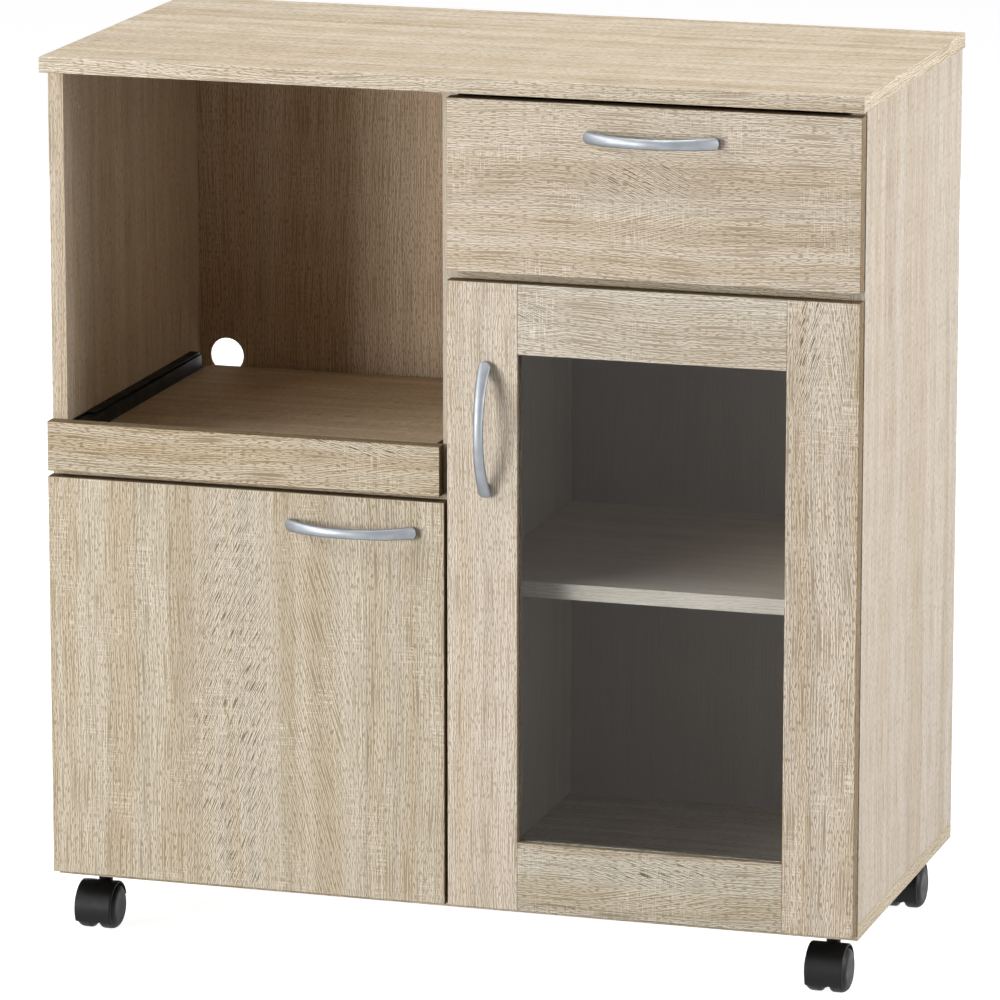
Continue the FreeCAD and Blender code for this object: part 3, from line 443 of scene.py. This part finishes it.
# Caps over the cam locks, and domed heads with a cross on the screws: one shape at many points, each with
# its facing. A shape is made of blocks of about unit size, each with its lift.
repeatShapes = {
    "cap": (
        ("GeometryNodeMeshCone", {
            "Vertices": 36, "Radius Bottom": 1.0, "Radius Top": 0.95, "Depth": 0.45}, 0.0),
        ("GeometryNodeMeshCone", {
            "Vertices": 36, "Radius Bottom": 0.95, "Radius Top": 0.7, "Depth": 0.55}, 0.45)),
    "cross": (
        ("GeometryNodeMeshCube", {"Size": (1.3, 0.32, 1.0)}, 0.5),
        ("GeometryNodeMeshCube", {"Size": (0.32, 1.3, 1.0)}, 0.5)),
}
repeatInputs = {"Points": "NodeSocketGeometry", "Radius": "NodeSocketFloat", "Height": "NodeSocketFloat",
                "Finish": "NodeSocketMaterial"}
repeatTrees = {}
for shape, blocks in repeatShapes.items():
    tree = bpy.data.node_groups.new(shape + "Repeat", "GeometryNodeTree")
    for label, kind in repeatInputs.items():
        tree.interface.new_socket(name=label, in_out="INPUT", socket_type=kind)
    tree.interface.new_socket(name="Pieces", in_out="OUTPUT", socket_type="NodeSocketGeometry")
    given = addNode(tree, "NodeGroupInput")
    joined = addNode(tree, "GeometryNodeJoinGeometry")
    for kind, sizes, lift in blocks:
        block = addNode(tree, kind, sizes)
        moved = addNode(tree, "GeometryNodeTransform", {
            "Geometry": block.outputs["Mesh"], "Translation": (0, 0, lift)})
        tree.links.new(moved.outputs[0], joined.inputs[0])
    facing = addNode(tree, "GeometryNodeInputNamedAttribute", {"Name": "facing"}, data_type="FLOAT_VECTOR")
    turned = addNode(tree, "FunctionNodeAlignRotationToVector", {
        "Vector": facing.outputs["Attribute"]}, axis="Z")
    scaled = addNode(tree, "ShaderNodeCombineXYZ", {
        0: given.outputs["Radius"], 1: given.outputs["Radius"], 2: given.outputs["Height"]})
    placed = addNode(tree, "GeometryNodeInstanceOnPoints", {
        "Points": given.outputs["Points"], "Instance": joined.outputs[0],
        "Rotation": turned.outputs[0], "Scale": scaled.outputs[0]})
    real = addNode(tree, "GeometryNodeRealizeInstances", {0: placed.outputs[0]})
    painted = addNode(tree, "GeometryNodeSetMaterial", {
        "Geometry": real.outputs[0], "Material": given.outputs["Finish"]})
    addNode(tree, "NodeGroupOutput", {0: painted.outputs[0]})
    repeatTrees[shape] = tree


def repeatPiece(name, shape, spots, sizes, material, body):
    seeds = bpy.data.meshes.new(name + "Points")
    seeds.from_pydata([Vector(place) / mmPerMetre for place, facing in spots], [], [])
    facings = seeds.attributes.new("facing", "FLOAT_VECTOR", "POINT")
    for i, (place, facing) in enumerate(spots):
        facings.data[i].vector = facing
    source = bpy.data.objects.new(name + "Points", seeds)
    bpy.context.scene.collection.objects.link(source)
    modifier = source.modifiers.new("repeat", "NODES")
    modifier.node_group = repeatTrees[shape]
    values = {"Radius": sizes[0] / mmPerMetre, "Height": sizes[1] / mmPerMetre, "Finish": material}
    for socket in repeatTrees[shape].interface.items_tree:
        if socket.in_out == "INPUT" and socket.name in values:
            modifier[socket.identifier] = values[socket.name]
    evaluated = source.evaluated_get(bpy.context.evaluated_depsgraph_get())
    result = bpy.data.meshes.new_from_object(evaluated)
    bpy.data.objects.remove(source)
    piece = bpy.data.objects.new(name, result)
    bpy.context.scene.collection.objects.link(piece)
    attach(piece, body)


# cam covers in the foil's colour, one over each cam; places and sizes in mm
camCovers = {
    "cover": (9.0, 0.7),    # radius, height
    "depths": (-122, 166),
    "uprights": ((-383, 1), (7.5, 1), (383, -1)),    # place of the board's face, way it looks
    "uprightHeights": (107, 811),
    "undersides": ((446, (-349, -41.5)), (661, (41.5, 349))),    # height of the face, places along it
}
coverSpots = [((x, y, z), (way, 0, 0)) for x, way in camCovers["uprights"]
              for y in camCovers["depths"] for z in camCovers["uprightHeights"]]
coverSpots += [((x, y, z), (0, 0, -1)) for z, pair in camCovers["undersides"]
               for x in pair for y in camCovers["depths"]]
repeatPiece("camCovers", "cap", coverSpots, camCovers["cover"],
            bpy.data.materials["oakFoil_left_side_panel"], "carcass")

# screw heads of the hinge plates in the carcass and of the handles behind each front; places and sizes in mm
screws = {
    "plateHead": (3.2, 0.5),    # radius, height
    "plateSpot": (379.3, -130, 16),    # face of the plates, depth, step up and down
    "plates": ((-1, (154.5, 365.5)), (1, (154.5, 578.5))),    # side, heights
    "handleHead": (4.0, 0.7),
    "handleDepth": -166.6,
    "drawer": ((143.5, 810.5), (255.5, 810.5)),    # across, height
    "left_door": ((-148.25, 425.5), (-36.25, 425.5)),
    "glass_door": ((40, 473.25), (40, 585.25)),
    "cross": (0.8, 0.5, 0.55),    # radius, height and lift of the cross as shares of the head's
}
plateFace, plateDepth, plateStep = screws["plateSpot"]
plateSpots = [((side * plateFace, plateDepth, z + step), (-side, 0, 0)) for side, heights in screws["plates"]
              for z in heights for step in (-plateStep, plateStep)]
screwSpots = {"carcass": (plateSpots, *screws["plateHead"])}
for front in ("drawer", "left_door", "glass_door"):
    handleSpots = [((x, screws["handleDepth"], z), (0, 1, 0)) for x, z in screws[front]]
    screwSpots[front] = (handleSpots, *screws["handleHead"])
crossRadius, crossHeight, crossLift = screws["cross"]
for body, (spots, radius, dome) in screwSpots.items():
    repeatPiece("screwDomes_" + body, "cap", spots, (radius, dome),
                fitting["zincPlatedSteel"], body)
    raised = [(Vector(place) + Vector(facing) * dome * crossLift, facing) for place, facing in spots]
    repeatPiece("screwCrosses_" + body, "cross", raised, (radius * crossRadius, dome * crossHeight),
                fitting["recessShade"], body)
print("covers and screw heads placed")

# Studio: pale floor, white surroundings, soft lamps
stage = {"floorReach": 14.0, "floorTone": "bcbcbc", "floorRoughness": 0.9, "floorGlow": 0.94,
         "ambient": 0.0, "backdrop": 1.0}
floorMesh = bpy.data.meshes.new("studioFloor")
reach = stage["floorReach"]
floorMesh.from_pydata([(-reach, -reach, 0), (reach, -reach, 0), (reach, reach, 0), (-reach, reach, 0)], [],
                      [(0, 1, 2, 3)])
floor = bpy.data.objects.new("studioFloor", floorMesh)
bpy.context.scene.collection.objects.link(floor)
floorMaterial, floorTree, floorShader = startMaterial("studioFloor")
floorShader.inputs["Base Color"].default_value = hexColour(stage["floorTone"])
floorShader.inputs["Roughness"].default_value = stage["floorRoughness"]
floorShader.inputs["Specular IOR Level"].default_value = 0.0
floorShader.inputs["Emission Color"].default_value = (1, 1, 1, 1)
floorMesh.materials.append(floorMaterial)

world = bpy.data.worlds.new("studio")
bpy.context.scene.world = world
world.use_nodes = True
worldTree = world.node_tree
worldTree.nodes.clear()
sky = addNode(worldTree, "ShaderNodeBackground", {"Color": (1, 1, 1, 1)})
addNode(worldTree, "ShaderNodeOutputWorld", {"Surface": sky.outputs[0]})

# white where the camera, a mirror or the glass looks at it, dim where it lights the cart
glows = ((floorTree, floorShader.inputs["Emission Strength"], 0.0, stage["floorGlow"]),
         (worldTree, sky.inputs["Strength"], stage["ambient"], stage["backdrop"]))
for tree, socket, dim, bright in glows:
    paths = addNode(tree, "ShaderNodeLightPath")
    seen = paths.outputs["Is Camera Ray"]
    for ray in ("Is Glossy Ray", "Is Transmission Ray"):
        seen = addNode(tree, "ShaderNodeMath", {
            0: seen, 1: paths.outputs[ray]}, operation="MAXIMUM").outputs[0]
    direct = addNode(tree, "ShaderNodeMath", {
        0: paths.outputs["Diffuse Depth"], 1: 0.5}, operation="LESS_THAN")    # no matt bounce yet
    shown = addNode(tree, "ShaderNodeMath", {0: seen, 1: direct.outputs[0]}, operation="MULTIPLY")
    level = addNode(tree, "ShaderNodeMapRange", {"Value": shown.outputs[0], "To Min": dim, "To Max": bright})
    tree.links.new(level.outputs[0], socket)

# place, what it faces, width and height, watts
lampPlan = {
    "frontLeftSoftbox": ((-2.86, -4.08, 0.9), (0, 0, 0.45), (1.75, 1.25), 158),
    "leftHighSoftbox": ((-3.75, -2.17, 2.95), (0, 0, 0.45), (2.0, 1.75), 105),
    "rightSoftbox": ((2.9, -0.1, 1.23), (0, 0, 0.45), (1.4, 1.2), 67),
    "overheadSoftbox": ((0.2, 0.1, 3.3), (0, 0, 0.8), (2.0, 2.0), 60),
    "rearSoftbox": ((-0.9, 4.0, 0.8), (0, 0, 0.45), (1.8, 1.2), 90),
}
for name, (spot, aim, size, watts) in lampPlan.items():
    lamp = bpy.data.lights.new(name, "AREA")
    lamp.shape = "RECTANGLE"
    lamp.size, lamp.size_y = size
    lamp.energy = watts
    lampObject = bpy.data.objects.new(name, lamp)
    lampObject.location = spot
    lampObject.rotation_euler = (Vector(aim) - Vector(spot)).to_track_quat("-Z", "Y").to_euler()
    bpy.context.scene.collection.objects.link(lampObject)

# Camera at the photograph's viewing angle
view = {"azimuth": 16.993, "elevation": 12.816, "distance": 6.5546, "aim": (-0.0037, 0.003, 0.4177),
        "lens": 244.74, "sensor": 36.0}
azimuth = math.radians(view["azimuth"])
elevation = math.radians(view["elevation"])
back = Vector((math.sin(azimuth) * math.cos(elevation), -math.cos(azimuth) * math.cos(elevation),
               math.sin(elevation)))
camera = bpy.data.cameras.new("photoCamera")
camera.lens = view["lens"]
camera.sensor_width = view["sensor"]
cameraObject = bpy.data.objects.new("photoCamera", camera)
cameraObject.location = Vector(view["aim"]) + back * view["distance"]
cameraObject.rotation_euler = (-back).to_track_quat("-Z", "Y").to_euler()
bpy.context.scene.collection.objects.link(cameraObject)
bpy.context.scene.camera = cameraObject
bpy.context.scene.view_settings.view_transform = "Standard"
print("studio ready")
